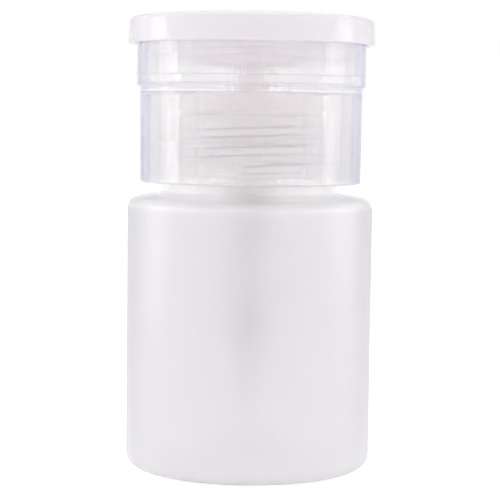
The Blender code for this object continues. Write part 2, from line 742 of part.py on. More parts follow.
def make_dish():
    """Press dish: rim, sloping floor that drains to the middle, boss and hub for the stem."""
    rim_bore = DISH_RADIUS - DISH_WALL
    floor_under = DISH_RIM_BASE + DISH_RIM_DROP
    floor_top = DISH_LOW + DISH_WALL
    section = [
        (DISH_RADIUS, DISH_RIM_BASE + DISH_RIM_HEIGHT, EDGE_ROUND),
        (DISH_RADIUS, DISH_RIM_BASE, 0),
        (rim_bore, DISH_RIM_BASE, 0),
        (rim_bore, floor_under, 0),
        (DISH_FLOOR_RADIUS, DISH_LOW, 0),
        (HUB_RADIUS, DISH_LOW, 0),
        (HUB_RADIUS, HUB_BASE, EDGE_ROUND),
        (HUB_BORE, HUB_BASE, 0),
        (HUB_BORE, BOSS_TOP, 0),
        (HUB_BORE + BOSS_WALL, BOSS_TOP, 0),
        (HUB_BORE + BOSS_WALL, floor_top, 0),
        (DISH_FLOOR_RADIUS, floor_top, 0),
        (rim_bore, floor_under + DISH_WALL, DISH_FILLET),
        (rim_bore, DISH_RIM_BASE + DISH_RIM_HEIGHT, EDGE_ROUND),
    ]
    return turned("press_dish", section, natural, BIG_STEPS)


def make_nozzle_cap(ball_centre):
    """Pierced cap on the dish's boss that keeps the outlet ball in its chamber."""
    ceiling = ball_centre + BALL_RADIUS + BALL_TRAVEL
    sleeve_base = STEM_TOP + FIT
    dome = BALL_CHAMBER + NOZZLE_WALL
    flange_top = NOZZLE_BASE + NOZZLE_FLANGE_HEIGHT
    section = [
        (dome, ceiling + NOZZLE_WALL, EDGE_ROUND),
        (dome, flange_top, 0),
        (STEM_RADIUS + NOZZLE_FLANGE_WIDTH, flange_top, 0),
        (STEM_RADIUS + NOZZLE_FLANGE_WIDTH, NOZZLE_BASE, 0),
        (BALL_CHAMBER + NOZZLE_SLEEVE_WALL, NOZZLE_BASE, 0),
        (BALL_CHAMBER + NOZZLE_SLEEVE_WALL, sleeve_base, 0),
        (BALL_CHAMBER, sleeve_base, 0),
        (BALL_CHAMBER, ceiling, 0),
        (NOZZLE_HOLE, ceiling, 0),
        (NOZZLE_HOLE, ceiling + NOZZLE_WALL, 0),
    ]
    return turned("nozzle_cap", section, natural)


def crown_line(rim_height, radii):
    """Section corners along the lid's crown, whose curve comes down to rim_height at the lid's radius."""
    return [(radius, rim_height + LID_CROWN * (1 - (radius / LID_RADIUS) ** 2), 0) for radius in radii]


def make_lid(nozzle_top):
    """Flip lid: crowned top, short skirt, sealing plug over the nozzle, hinge arm and trunnions."""
    top_radius = LID_RADIUS - LID_TAPER
    inner_radius = LID_BORE - LID_ROUND
    inner_step = (inner_radius - PLUG_RADIUS) / LID_CROWN_STEPS
    plug_bore = PLUG_RADIUS - PLUG_WALL
    plug_base = nozzle_top + FIT
    section = [
        *crown_line(LID_EDGE, [top_radius * step / LID_CROWN_STEPS for step in range(LID_CROWN_STEPS)]),
        (top_radius, LID_EDGE, LID_ROUND),
        (LID_RADIUS, LID_BASE, EDGE_ROUND),
        (LID_BORE, LID_BASE, EDGE_ROUND),
        (LID_BORE, LID_CEILING, EDGE_ROUND),
        *crown_line(LID_CEILING, [inner_radius - inner_step * step for step in range(LID_CROWN_STEPS + 1)]),
        (PLUG_RADIUS, plug_base, EDGE_ROUND),
        (plug_bore, plug_base, 0),
        *crown_line(LID_CEILING, [plug_bore, 0]),
    ]
    hinge = bpy.data.objects.new("lid_hinge", None)
    hinge.location = (0, HINGE_REACH, HINGE_HEIGHT)
    parts.objects.link(hinge)
    lid = turned("flip_lid", section, natural, BIG_STEPS, ring=False)
    arm_top = LID_BASE + HINGE_DROP / 2
    arm_wall = LID_BORE + LID_WALL / 4
    arm_outline = [
        (arm_wall, arm_top),
        (LID_RADIUS - LID_WALL / 4, arm_top),
        (HINGE_REACH + HINGE_BARREL, HINGE_HEIGHT),
        (HINGE_REACH - HINGE_BARREL, HINGE_HEIGHT),
    ]
    arm = plate_across_x("lid_arm", arm_outline, 2 * HINGE_HALF_WIDTH, 0)
    barrel = rod_across_x("lid_barrel", HINGE_BARREL, 2 * HINGE_HALF_WIDTH, 0, HINGE_REACH, HINGE_HEIGHT)
    trunnion_length = 2 * (HINGE_HALF_WIDTH + FIT + LUG_THICKNESS)
    trunnions = rod_across_x(
        "lid_trunnions", TRUNNION_RADIUS, trunnion_length, 0, HINGE_REACH, HINGE_HEIGHT
    )
    for tool in (arm, barrel, trunnions):
        combine(lid, tool, "UNION")
    lid.parent = hinge
    lid.location = -hinge.location
    return lid


make_bottle()
make_closure()
make_gasket()
make_housing()
make_chaplet()
make_dip_tube()
inlet_apex = BALL_CONE_TOP - BALL_CHAMBER
outlet_apex = STEM_TOP - STEM_SEAT_RADIUS
outlet_centre = ball_height(outlet_apex)
make_ball("inlet_ball", ball_height(inlet_apex))
make_spring()
make_plunger()
make_piston()
make_stem()
make_ball("outlet_ball", outlet_centre)
make_dish()
make_nozzle_cap(outlet_centre)
make_lid(outlet_centre + BALL_RADIUS + BALL_TRAVEL + NOZZLE_WALL)
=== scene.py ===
"""Nail polish remover pump: frosted bottle, clear natural closure with a press dish, and flip lid."""
import math

import bpy
from mathutils import Matrix, Vector


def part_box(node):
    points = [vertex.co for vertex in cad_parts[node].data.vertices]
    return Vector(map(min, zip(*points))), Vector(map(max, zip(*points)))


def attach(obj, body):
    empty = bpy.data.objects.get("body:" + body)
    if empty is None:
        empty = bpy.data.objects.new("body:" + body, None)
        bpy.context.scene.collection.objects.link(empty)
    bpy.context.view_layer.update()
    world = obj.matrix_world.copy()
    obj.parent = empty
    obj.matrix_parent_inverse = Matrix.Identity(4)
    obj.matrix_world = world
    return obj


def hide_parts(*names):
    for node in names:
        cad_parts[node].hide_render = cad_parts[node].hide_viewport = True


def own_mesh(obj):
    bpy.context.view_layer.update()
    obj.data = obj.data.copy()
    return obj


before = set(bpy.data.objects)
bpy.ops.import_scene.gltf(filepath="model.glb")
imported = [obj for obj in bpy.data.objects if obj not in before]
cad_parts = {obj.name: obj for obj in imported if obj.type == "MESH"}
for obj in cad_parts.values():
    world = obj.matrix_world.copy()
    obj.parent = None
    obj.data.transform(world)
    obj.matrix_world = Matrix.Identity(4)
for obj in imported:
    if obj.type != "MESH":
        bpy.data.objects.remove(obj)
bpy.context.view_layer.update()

# Bottle
# The bottle is blow moulded in natural polyethylene with a fine frosted skin. It stands on a foot ring
# round a shallow push-up, and its neck carries a right-handed thread of 24 mm with 3.175 mm pitch.
MM = 0.001
TURN_STEPS = 144
THREAD_STEPS = 72
PITCH = 3.175 * MM
FADE_TURNS = 0.14
FADE_HEAD_START = 0.6
WELD = 0.004 * MM
ARC_STEP = math.radians(13)
PLASTIC_IOR = 1.45


def eased(section):
    """Section points in metres, with each corner's rounding drawn as an arc."""
    points = []
    for index, (radius, height, rounding) in enumerate(section):
        corner = Vector((radius, height))
        if not rounding:
            points.append(corner * MM)
            continue
        back = (Vector(section[index - 1][:2]) - corner).normalized()
        onward = (Vector(section[(index + 1) % len(section)][:2]) - corner).normalized()
        half = back.angle(onward) / 2
        centre = corner + (back + onward).normalized() * (rounding / math.sin(half))
        start = corner + back * (rounding / math.tan(half)) - centre
        end = corner + onward * (rounding / math.tan(half)) - centre
        sweep = math.atan2(start.x * end.y - start.y * end.x, start.dot(end))
        steps = max(3, math.ceil(abs(sweep) / ARC_STEP))
        for step in range(steps + 1):
            points.append((centre + Matrix.Rotation(sweep * step / steps, 2) @ start) * MM)
    return points


def wire(name, points):
    """Object whose edges run through the points: one corner, extruded from point to point."""
    bpy.ops.object.select_all(action="DESELECT")
    bpy.ops.mesh.primitive_plane_add(size=MM, location=points[0])
    bpy.ops.object.transform_apply(location=True)
    bpy.ops.object.mode_set(mode="EDIT")
    bpy.ops.mesh.merge(type="CENTER")
    for last, point in zip(points, points[1:]):
        step = Vector(point) - Vector(last)
        bpy.ops.mesh.extrude_region_move(TRANSFORM_OT_translate={"value": step})
    bpy.ops.object.mode_set(mode="OBJECT")
    piece = bpy.context.object
    piece.name = name
    return piece


def closed_up(piece, open_ends=False):
    """Merges doubles, closes open ends and points the faces outwards."""
    bpy.ops.object.mode_set(mode="EDIT")
    bpy.ops.mesh.select_all(action="SELECT")
    bpy.ops.mesh.remove_doubles(threshold=WELD)
    if open_ends:
        bpy.ops.mesh.select_all(action="DESELECT")
        bpy.ops.mesh.select_non_manifold(extend=False)
        bpy.ops.mesh.fill()
    bpy.ops.mesh.select_all(action="SELECT")
    bpy.ops.mesh.normals_make_consistent(inside=False)
    bpy.ops.object.mode_set(mode="OBJECT")
    return piece


def turned(name, section, steps=TURN_STEPS, ring=False):
    """Piece spun about Z from its section in mm, each corner with its rounding."""
    points = [(point.x, 0, point.y) for point in eased(section)]
    if ring:
        points.append(points[0])
    piece = wire(name, points)
    bpy.ops.object.mode_set(mode="EDIT")
    bpy.ops.mesh.select_all(action="SELECT")
    bpy.ops.mesh.spin(steps=steps, angle=2 * math.pi, axis=(0, 0, 1), center=(0, 0, 0))
    bpy.ops.mesh.select_all(action="SELECT")
    bpy.ops.mesh.remove_doubles(threshold=WELD)
    bpy.ops.mesh.normals_make_consistent(inside=False)
    bpy.ops.object.mode_set(mode="OBJECT")
    return piece


def apply_modifier(piece, kind, **settings):
    """Adds a modifier with its settings and applies it at once."""
    modifier = piece.modifiers.new(kind, kind)
    for setting, value in settings.items():
        setattr(modifier, setting, value)
    bpy.context.view_layer.objects.active = piece
    bpy.ops.object.modifier_apply(modifier=modifier.name)


def joined(piece, tool, operation="UNION"):
    """Joins a tool on to a piece, or cuts it away, and removes the tool."""
    apply_modifier(piece, "BOOLEAN", operation=operation, object=tool, solver="EXACT")
    bpy.data.objects.remove(tool)


def thread(name, section, front, below, above):
    """Screwed ridge that crosses the front at a height and fades out at both ends."""
    corners = [(radius * MM, 0, height * MM) for radius, height in section]
    ridge = wire(name, corners + corners[:1])
    bpy.ops.object.mode_set(mode="EDIT")
    bpy.ops.mesh.select_all(action="SELECT")
    bpy.ops.mesh.remove_doubles(threshold=WELD)
    bpy.ops.object.mode_set(mode="OBJECT")
    turns = below + above
    steps = round(turns * THREAD_STEPS)
    apply_modifier(ridge, "SCREW", angle=turns * 2 * math.pi, screw_offset=turns * PITCH,
                   steps=steps, render_steps=steps, use_merge_vertices=False)
    root = Vector((corners[0][0], 0))
    fade = FADE_TURNS * THREAD_STEPS
    for vertex in ridge.data.vertices:
        ring = vertex.index // len(corners)
        share = min(1.0, (min(ring, steps - ring) + FADE_HEAD_START) / fade)
        share = share * share * (3 - 2 * share)
        radius = math.hypot(vertex.co.x, vertex.co.y)
        scale = (root.x + (radius - root.x) * share) / radius
        middle = turns * PITCH * ring / steps
        vertex.co = (vertex.co.x * scale, vertex.co.y * scale, middle + (vertex.co.z - middle) * share)
    ridge.data.transform(Matrix.Translation((0, 0, front * MM - below * PITCH))
                         @ Matrix.Rotation(-math.pi / 2 - below * 2 * math.pi, 4, "Z"))
    return closed_up(ridge, open_ends=True)


def smooth(piece, angle=32):
    """Smooth shading with the edges over the angle kept crisp and the flat faces kept flat."""
    bpy.ops.object.select_all(action="DESELECT")
    piece.select_set(True)
    bpy.context.view_layer.objects.active = piece
    bpy.ops.object.shade_smooth_by_angle(angle=math.radians(angle))
    apply_modifier(piece, "WEIGHTED_NORMAL", keep_sharp=True)


class Socket:
    """A node's output that takes part in sums, so that shader maths reads as Python."""

    def __init__(self, finish, output):
        self.finish = finish
        self.output = output

    def maths(self, operation, first, second):
        return self.finish.node("Math", {"operation": operation}, {0: first, 1: second})

    def larger(self, other):
        return self.maths("MAXIMUM", self, other)

    def __add__(self, other):
        return self.maths("ADD", self, other)

    __radd__ = __add__

    def __sub__(self, other):
        return self.maths("SUBTRACT", self, other)

    def __rsub__(self, other):
        return self.maths("SUBTRACT", other, self)

    def __mul__(self, other):
        return self.maths("MULTIPLY", self, other)

    __rmul__ = __mul__


class Finish:
    """A procedural material, or the room's light, built node by node on Object coordinates."""

    def __init__(self, name, kept_in=bpy.data.materials, end="OutputMaterial"):
        self.material = kept_in.new(name)
        self.material.use_nodes = True
        self.tree = self.material.node_tree
        self.tree.nodes.clear()
        self.end = self.tree.nodes.new("ShaderNode" + end)
        self.place = self.node("TexCoord", output="Object")

    def node(self, kind, settings=None, inputs=None, output=0):
        """Adds a node: its settings first, then the values or links of its sockets."""
        made = self.tree.nodes.new("ShaderNode" + kind)
        for setting, value in (settings or {}).items():
            setattr(made, setting, value)
        for name, value in (inputs or {}).items():
            if isinstance(value, Socket):
                self.tree.links.new(value.output, made.inputs[name])
            else:
                made.inputs[name].default_value = value
        return Socket(self, made.outputs[output])

    def grain(self, scale, stretch=(1, 1, 1), detail=3.0):
        """Noise from 0 to 1, with scale in cells to the metre."""
        where = self.node("Mapping", {}, {"Vector": self.place, "Scale": stretch})
        return self.node("TexNoise", {}, {"Vector": where, "Scale": scale, "Detail": detail})

    def between(self, share, first, second):
        """Colour between two, each plain or already mixed, by a share from 0 to 1."""
        first, second = (tint if isinstance(tint, Socket) else (*tint, 1) for tint in (first, second))
        return self.node("Mix", {"data_type": "RGBA"}, {0: share, 6: first, 7: second}, 2)

    def ramp(self, value, low, high):
        """Share that climbs from 0 at low to 1 at high."""
        return self.node("MapRange", {}, {"Value": value, "From Min": low, "From Max": high})

    def bumps(self, height, distance):
        """Normal from a height, with the bump's depth in metres."""
        return self.node("Bump", {}, {"Height": height, "Distance": distance, "Strength": 1.0})

    def slant(self):
        """Square of how slanting the look on the surface is, from 0 to 1."""
        facing = self.node("LayerWeight", {}, {"Blend": 0.5}, output="Facing")
        return facing * facing

    def limb(self, start=0.3):
        """Share that is 1 in the narrow border where a wall turns away from the look."""
        return self.ramp(self.slant(), start, start + 0.3)

    def flat(self):
        """Share that is 1 on level faces and 0 on upright ones."""
        normal = self.node("TexCoord", output="Normal")
        up = self.node("SeparateXYZ", {}, {"Vector": normal}, output="Z")
        return self.ramp(self.node("Math", {"operation": "ABSOLUTE"}, {0: up}), 0.4, 0.6)

    def along(self, axis):
        """Place along an axis, in metres from the middle of the bottle's foot."""
        return self.node("SeparateXYZ", {}, {"Vector": self.place}, output=axis)

    def outward(self):
        """Vector from the bottle's axis to the spot."""
        return self.node("VectorMath", {"operation": "MULTIPLY"}, {0: self.place, 1: (1, 1, 0)})

    def radius(self):
        """Distance from the bottle's axis, in metres."""
        return self.node("VectorMath", {"operation": "LENGTH"}, {0: self.outward()}, output="Value")

    def band(self, value, low, high, soft):
        """Share that is 1 from low to high and fades out over a soft border on both sides."""
        return self.ramp(value, low - soft, low) * (1 - self.ramp(value, high, high + soft))

    def shown(self, shader):
        """Sends a shader to the output."""
        self.tree.links.new(shader.output, self.end.inputs["Surface"])

    def surface(self, **sockets):
        """Principled surface, with underscores for the spaces in its sockets' names."""
        named = {name.replace("_", " "): value for name, value in sockets.items()}
        self.shown(self.node("BsdfPrincipled", {}, named))


frosted = Finish("frosted_polyethylene")
clouds = frosted.grain(55, (1, 1, 0.35))
skin = frosted.grain(2600)
height = frosted.along("Z")
flat = frosted.flat()
foot = 1 - frosted.ramp(height, 1 * MM, 7 * MM)
shoulder_up = frosted.ramp(height, 45.2 * MM, 46.4 * MM)
neck = frosted.ramp(height, 49.1 * MM, 49.4 * MM)
# The frost is on the outer face alone and ends at the collar: the neck in the closure is clear.
faced_out = frosted.node("VectorMath", {"operation": "DOT_PRODUCT"}, {
    0: frosted.node("TexCoord", output="Normal"), 1: frosted.outward()}, output="Value")
underside = 1 - frosted.ramp(height, 0.9 * MM, 1.1 * MM)
outside = frosted.ramp(faced_out, -0.5 * MM, 0.5 * MM).larger(underside)
frost = outside * (1 - neck)
# The thread carries painted light: dark lines of painted shade along its crests, and a peach painted
# highlight where its flanks turn away.
painted_crest_shade = (flat * frosted.band(frosted.radius(), 11.1 * MM, 13 * MM, 0.1 * MM)
              * frosted.ramp(height, 49.6 * MM, 49.8 * MM))
painted_flank_highlight = neck * frosted.limb() * (1 - flat)
body_tint = frosted.between(clouds, (0.949, 0.931, 0.949), (0.959, 0.941, 0.959))
body_tint = frosted.between(frosted.limb(0.2) * (1 - flat), body_tint, (0.82, 0.81, 0.86))
# Painted light: a paler tint on the foot and the shoulder stands in for the light that reaches them.
body_tint = frosted.between((0.6 * foot).larger(shoulder_up), body_tint, (1, 0.995, 0.995))
# Painted highlight: peach on the thread's flanks where they turn away.
body_tint = frosted.between(painted_flank_highlight, body_tint, (1, 0.80, 0.68))
# Painted shade: dark blue lines along the thread's crests.
body_tint = frosted.between(painted_crest_shade, body_tint, (0.10, 0.13, 0.22))
# The share that Alpha leaves goes straight through, most in the thin shoulder and the neck.
frosted.surface(
    Base_Color=body_tint,
    Roughness=0.16 - 0.11 * neck + (0.14 + 0.04 * skin) * frost,
    IOR=PLASTIC_IOR,
    Transmission_Weight=0.6,
    Coat_Weight=frost,
    Coat_Roughness=0.3,
    Coat_IOR=1.7,
    Alpha=(1 - 0.62 * shoulder_up - 0.24 * neck + 0.86 * painted_crest_shade - 0.2 * foot
           - 0.15 * frost * (1 - foot) * (1 - shoulder_up)),
    Normal=frosted.bumps(skin + 0.4 * clouds, 0.002 * MM),
)

bottle = turned("bottle_wall", [
    (0, 1.95, 0), (12.3, 1.95, 1.5), (14.6, 1.05, 1.2), (20.05, 1.05, 1.35), (20.05, 45.25, 1.15),
    (13.9, 46.3, 0.5), (13.9, 48.45, 0.4), (9.0, 48.45, 0.35), (9.0, 60.1, 0.2), (10.8, 60.1, 0.4),
    (10.8, 49.5, 0.4), (14.95, 49.5, 0.4), (14.95, 47.35, 0.4), (21.1, 46.3, 2.2), (21.1, 0, 2.4),
    (14.5, 0, 0.5), (12.5, 0.9, 1.2), (0, 0.9, 0),
])
neck_thread = [(10.45, -1.064), (12.1, -0.525), (12.1, 0.525), (10.45, 1.064)]
joined(bottle, thread("neck_ridge", neck_thread, front=57.8, below=2.1, above=0.25))
smooth(bottle)
bottle.data.materials.append(frosted.material)
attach(bottle, "bottle")
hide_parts("bottle")

# Closure
# One injection moulding in clear natural polypropylene: a smooth skirt outside, a threaded skirt inside
# it, a deck over both, and above the deck the band round the dish with two lugs for the lid's hinge.
ROD_SIDES = 48
HINGE_Y = 20.85
HINGE_Z = 70.6
LUG_RADIUS = 1.2


def plate(name, outline, low, high):
    """Flat plate: a (y, z) outline in mm, extruded across X."""
    corners = [(low * MM, y * MM, z * MM) for y, z in outline]
    piece = wire(name, corners + corners[:1])
    bpy.ops.object.mode_set(mode="EDIT")
    bpy.ops.mesh.select_all(action="SELECT")
    bpy.ops.mesh.remove_doubles(threshold=WELD)
    bpy.ops.mesh.select_all(action="SELECT")
    bpy.ops.mesh.edge_face_add()
    bpy.ops.mesh.extrude_region_move(TRANSFORM_OT_translate={"value": ((high - low) * MM, 0, 0)})
    bpy.ops.object.mode_set(mode="OBJECT")
    return closed_up(piece)


def rod(name, radius, low, high, y, z):
    """Round rod along X, with its sizes and its axis's place in mm."""
    bpy.ops.object.select_all(action="DESELECT")
    bpy.ops.mesh.primitive_cylinder_add(
        vertices=ROD_SIDES, radius=radius * MM, depth=(high - low) * MM,
        location=((low + high) / 2 * MM, y * MM, z * MM), rotation=(0, math.pi / 2, 0))
    bpy.ops.object.transform_apply(location=True, rotation=True)
    piece = bpy.context.object
    piece.name = name
    return piece


closure_plastic = Finish("closure_polypropylene")
flow = closure_plastic.grain(90, (1, 1, 0.3))
peel = closure_plastic.grain(900)
across, depth, height = (closure_plastic.along(axis) for axis in "XYZ")
radius = closure_plastic.radius()
slant = closure_plastic.slant()
flat = closure_plastic.flat()
outer_limb = closure_plastic.ramp(radius, 17.8 * MM, 18 * MM) * closure_plastic.limb()
inner_limb = (closure_plastic.band(radius, 13.6 * MM, 14.2 * MM, 0.2 * MM)
              * closure_plastic.ramp(slant, 0.6, 0.9))
inner_skirt = 1 - closure_plastic.ramp(radius, 14.2 * MM, 14.4 * MM)
below_deck = 1 - closure_plastic.ramp(height, 64 * MM, 64.4 * MM)
threaded = (1 - closure_plastic.ramp(radius, 12.7 * MM, 12.85 * MM)) * below_deck
rib = (threaded * closure_plastic.band(across, 0.08 * MM, 1.12 * MM, 0.02 * MM)
       * closure_plastic.ramp(height, 58 * MM, 58.2 * MM)
       * (1 - closure_plastic.ramp(depth, -12 * MM, -11.9 * MM)))
# Bluish where a wall turns away, a little warmer on the inner skirt and its thread.
clear_tint = closure_plastic.between(flow, (0.965, 0.948, 0.962), (0.975, 0.958, 0.970))
for share, tint in ((slant, (0.92, 0.93, 0.99)), (inner_skirt, (0.995, 0.97, 0.962)),
                    (threaded, (1, 0.985, 0.975)), (outer_limb, (0.50, 0.53, 0.72)),
                    (inner_limb, (0.30, 0.38, 0.66))):
    clear_tint = closure_plastic.between(share, clear_tint, tint)
closure_plastic.surface(
    Base_Color=clear_tint,
    Roughness=0.03 + 0.04 * peel,
    IOR=PLASTIC_IOR,
    Transmission_Weight=0.7,
    Alpha=0.6 + 0.35 * slant * (1 - flat) - 0.08 * flat - 0.35 * threaded + 0.55 * rib,
    Normal=closure_plastic.bumps(peel + flow, 0.003 * MM),
)
closure = turned("closure_moulding", [
    (19.55, 75.4, 0.35), (19.65, 65.7, 0.15), (19.1, 65.25, 0.1), (18.98, 49.0, 0.35),
    (18.0, 49.0, 0.35), (18.0, 64.5, 0.9), (14.0, 64.5, 0.9), (14.0, 50.1, 0.35),
    (12.85, 50.1, 0.35), (12.85, 64.5, 0.9), (4.6, 64.5, 0.3), (4.6, 65.7, 0.3),
    (17.55, 65.7, 0.45), (17.55, 67.25, 0.2), (18.5, 67.25, 0.2), (18.5, 75.4, 0.35),
], ring=True)
skirt_thread = [(13.2, -0.782), (13.2, 0.782), (11.2, 0.12), (11.2, -0.12)]
joined(closure, thread("inner_ridge", skirt_thread, front=56.2125, below=1.25, above=0.25))
rib_outline = [(-13.2, 58.2), (-12.4, 58.8), (-12.4, 64.85), (-13.2, 64.85)]
joined(closure, plate("inner_rib", rib_outline, 0.1, 1.1))
lug_outline = [(19.0, 71.8)]
for degrees in range(90, -70, -10):
    turn = math.radians(degrees)
    lug_outline.append((HINGE_Y + LUG_RADIUS * math.cos(turn), HINGE_Z + LUG_RADIUS * math.sin(turn)))
lug_outline.append((19.0, 66.8))
for side, low, high in (("left", -4.1, -2.6), ("right", 2.6, 4.1)):
    joined(closure, plate("hinge_lug_" + side, lug_outline, low, high))
    hole = rod("hinge_hole_" + side, 0.7, low - 0.5, high + 0.5, HINGE_Y, HINGE_Z)
    joined(closure, hole, "DIFFERENCE")
smooth(closure)
closure.data.materials.append(closure_plastic.material)
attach(closure, "closure")
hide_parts("closure")

# Neck gasket
# A washer punched from white foam sheet. It lies between the bottle's lip and the pump's flange, and
# the closure's deck presses it tight.
foam = Finish("gasket_foam")
cells = foam.node("TexVoronoi", {}, {"Vector": foam.place, "Scale": 4200})
foam.surface(
    Base_Color=foam.between(cells, (0.80, 0.79, 0.77), (0.90, 0.89, 0.87)),
    Roughness=0.85 - 0.1 * cells,
    Normal=foam.bumps(cells, 0.04 * MM),
)
gasket = turned("neck_washer", [
    (10.9, 61.2, 0.12), (10.9, 60.4, 0.12), (6.2, 60.4, 0.08), (6.2, 61.2, 0.08),
], ring=True)
smooth(gasket)
gasket.data.materials.append(foam.material)
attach(gasket, "pump")
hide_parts("neck_gasket")

# Pump housing
# The pump's cylinder hangs in the bottle by its flange. It narrows to the spring's seat, the lower valve
# and the socket of the dip tube, and a small vent under the flange lets air in behind the liquid.


def natural(name, low_tint, high_tint, clearness, roughness, haze=0.5, edge_haze=0.92, edge_tint=None,
            edge_start=0.3, coat=0.0, neck_clearness=0.0):
    """Natural plastic with cloudy flow and a faint orange peel, hazier and more tinted at its limbs.

    What neck_clearness says is taken off the haze from the neck up.
    """
    finish = Finish(name)
    flow = finish.grain(90, (1, 1, 0.3))
    peel = finish.grain(900)
    slant = finish.slant()
    tint = finish.between(flow, low_tint, high_tint)
    if edge_tint:
        tint = finish.between(finish.limb(edge_start), tint, edge_tint)
    cover = haze + (edge_haze - haze) * slant
    if neck_clearness:
        cover = cover - neck_clearness * finish.ramp(finish.along("Z"), 45 * MM, 49 * MM)
    finish.surface(
        Base_Color=tint,
        Roughness=roughness + 0.04 * peel,
        IOR=PLASTIC_IOR,
        Transmission_Weight=clearness,
        Coat_Weight=coat,
        Coat_Roughness=0.1,
        Alpha=cover,
        Normal=finish.bumps(peel + flow, 0.003 * MM),
    )
    return finish


pump_plastic = natural("pump_polypropylene", (0.94, 0.915, 0.905), (0.95, 0.925, 0.915),
                       clearness=0.6, roughness=0.12, haze=0.75,
                       edge_tint=(0.96, 0.84, 0.76), edge_start=0.2, neck_clearness=0.35)
housing = turned("pump_cylinder", [
    (10.9, 62.7, 0.2), (10.9, 61.5, 0.2), (5.9, 61.5, 0.35), (5.9, 57.0, 0.3), (4.5, 55.6, 0.3),
    (4.5, 24.2, 0.4), (2.7, 20.2, 0.3), (2.7, 14.6, 0.35), (1.9, 14.6, 0.1), (1.9, 17.9, 0),
    (0.8, 17.9, 0.1), (0.8, 18.6, 0.1), (1.5, 19.3, 0.15), (1.5, 21.6, 0.15), (2.1, 21.6, 0.1),
    (2.1, 22.9, 0.15), (3.4, 24.2, 0.3), (3.4, 56.2, 0.3), (5.0, 57.8, 0.3), (5.0, 62.7, 0.15),
], steps=96, ring=True)
joined(housing, rod("vent_bore", 0.5, 2.85, 5.05, 0, 53.5), "DIFFERENCE")
smooth(housing)
housing.data.materials.append(pump_plastic.material)
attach(housing, "pump")
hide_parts("pump_housing")

# Chaplet
# The chaplet presses into the housing's cup, guides the stem and stops its collar on the way up. It is
# moulded in a milkier polypropylene than the housing, as are the plunger, the stem and the nozzle.
milky_plastic = natural("milky_polypropylene", (0.985, 0.97, 0.965), (0.99, 0.978, 0.972),
                        clearness=0.4, roughness=0.2, haze=0.7, neck_clearness=0.35)
chaplet = turned("chaplet_cup", [
    (8.0, 64.2, 0.25), (8.0, 63.0, 0.25), (4.7, 63.0, 0.15), (4.7, 60.8, 0.35), (3.2, 60.8, 0.2),
    (3.2, 58.0, 0.2), (2.2, 58.0, 0.15), (2.2, 62.0, 0.15), (3.9, 62.0, 0.3), (3.9, 64.2, 0.25),
], steps=96, ring=True)
smooth(chaplet)
chaplet.data.materials.append(milky_plastic.material)
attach(chaplet, "pump")
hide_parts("chaplet")

# Dip tube
# A short extruded tube in natural polyethylene, pressed into the socket under the housing. Its foot
# has a notch, so the floor can't seal it.
tube_plastic = natural("tube_polyethylene", (0.95, 0.95, 0.96), (0.97, 0.97, 0.98),
                       clearness=0.7, roughness=0.2)
tube = turned("suction_tube", [
    (1.6, 17.6, 0.1), (1.6, 3.2, 0.1), (1.15, 3.2, 0.08), (1.15, 17.6, 0.08),
], steps=64, ring=True)
notch = plate("foot_notch", [(-0.78, 3.2), (0, 3.98), (0.78, 3.2), (0, 2.42)], -2.1, 2.1)
joined(tube, notch, "DIFFERENCE")
smooth(tube)
tube.data.materials.append(tube_plastic.material)
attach(tube, "pump")
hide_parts("dip_tube")

# Valve balls
# Two polished stainless balls of 2.4 mm: one seals the foot of the pump, the other the top of its
# stem. Both lie loose on their seats, and the liquid lifts them.
ball_steel = Finish("ball_steel")
polish = ball_steel.grain(1800, detail=4.0)
ball_steel.surface(
    Base_Color=ball_steel.between(polish, (0.46, 0.47, 0.50), (0.58, 0.59, 0.61)),
    Metallic=1.0,
    Roughness=0.12 + 0.14 * polish,
)
BALL_RADIUS = 1.2
for name, node, body in (("lower_valve_ball", "inlet_ball", "inlet_valve"),
                         ("upper_valve_ball", "outlet_ball", "outlet_valve")):
    lowest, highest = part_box(node)
    bpy.ops.object.select_all(action="DESELECT")
    bpy.ops.mesh.primitive_cube_add(size=2 * BALL_RADIUS * MM, location=(lowest + highest) / 2)
    ball = bpy.context.object
    ball.name = name
    bpy.ops.object.mode_set(mode="EDIT")
    bpy.ops.mesh.subdivide(number_cuts=11)
    bpy.ops.transform.tosphere(value=1.0)
    bpy.ops.object.mode_set(mode="OBJECT")
    reach = max(vertex.co.length for vertex in ball.data.vertices)
    ball.data.transform(Matrix.Scale(BALL_RADIUS * MM / reach, 4))
    bpy.ops.object.transform_apply(location=True)
    smooth(ball, 180)
    ball.data.materials.append(ball_steel.material)
    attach(ball, body)
    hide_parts(node)

# Return spring
# Wound from drawn stainless wire of 0.6 mm: four closed turns at the foot, six open ones and three
# closed at the top. The closed turns shade each other, and that shade is painted into their steel as
# near-black.
spring_steel = Finish("spring_steel")
drawn = spring_steel.grain(700, (1, 1, 6))
open_turns = spring_steel.band(spring_steel.along("Z"), 27.5 * MM, 38 * MM, 1.2 * MM)
bright_wire = spring_steel.between(drawn, (0.56, 0.58, 0.62), (0.70, 0.72, 0.75))
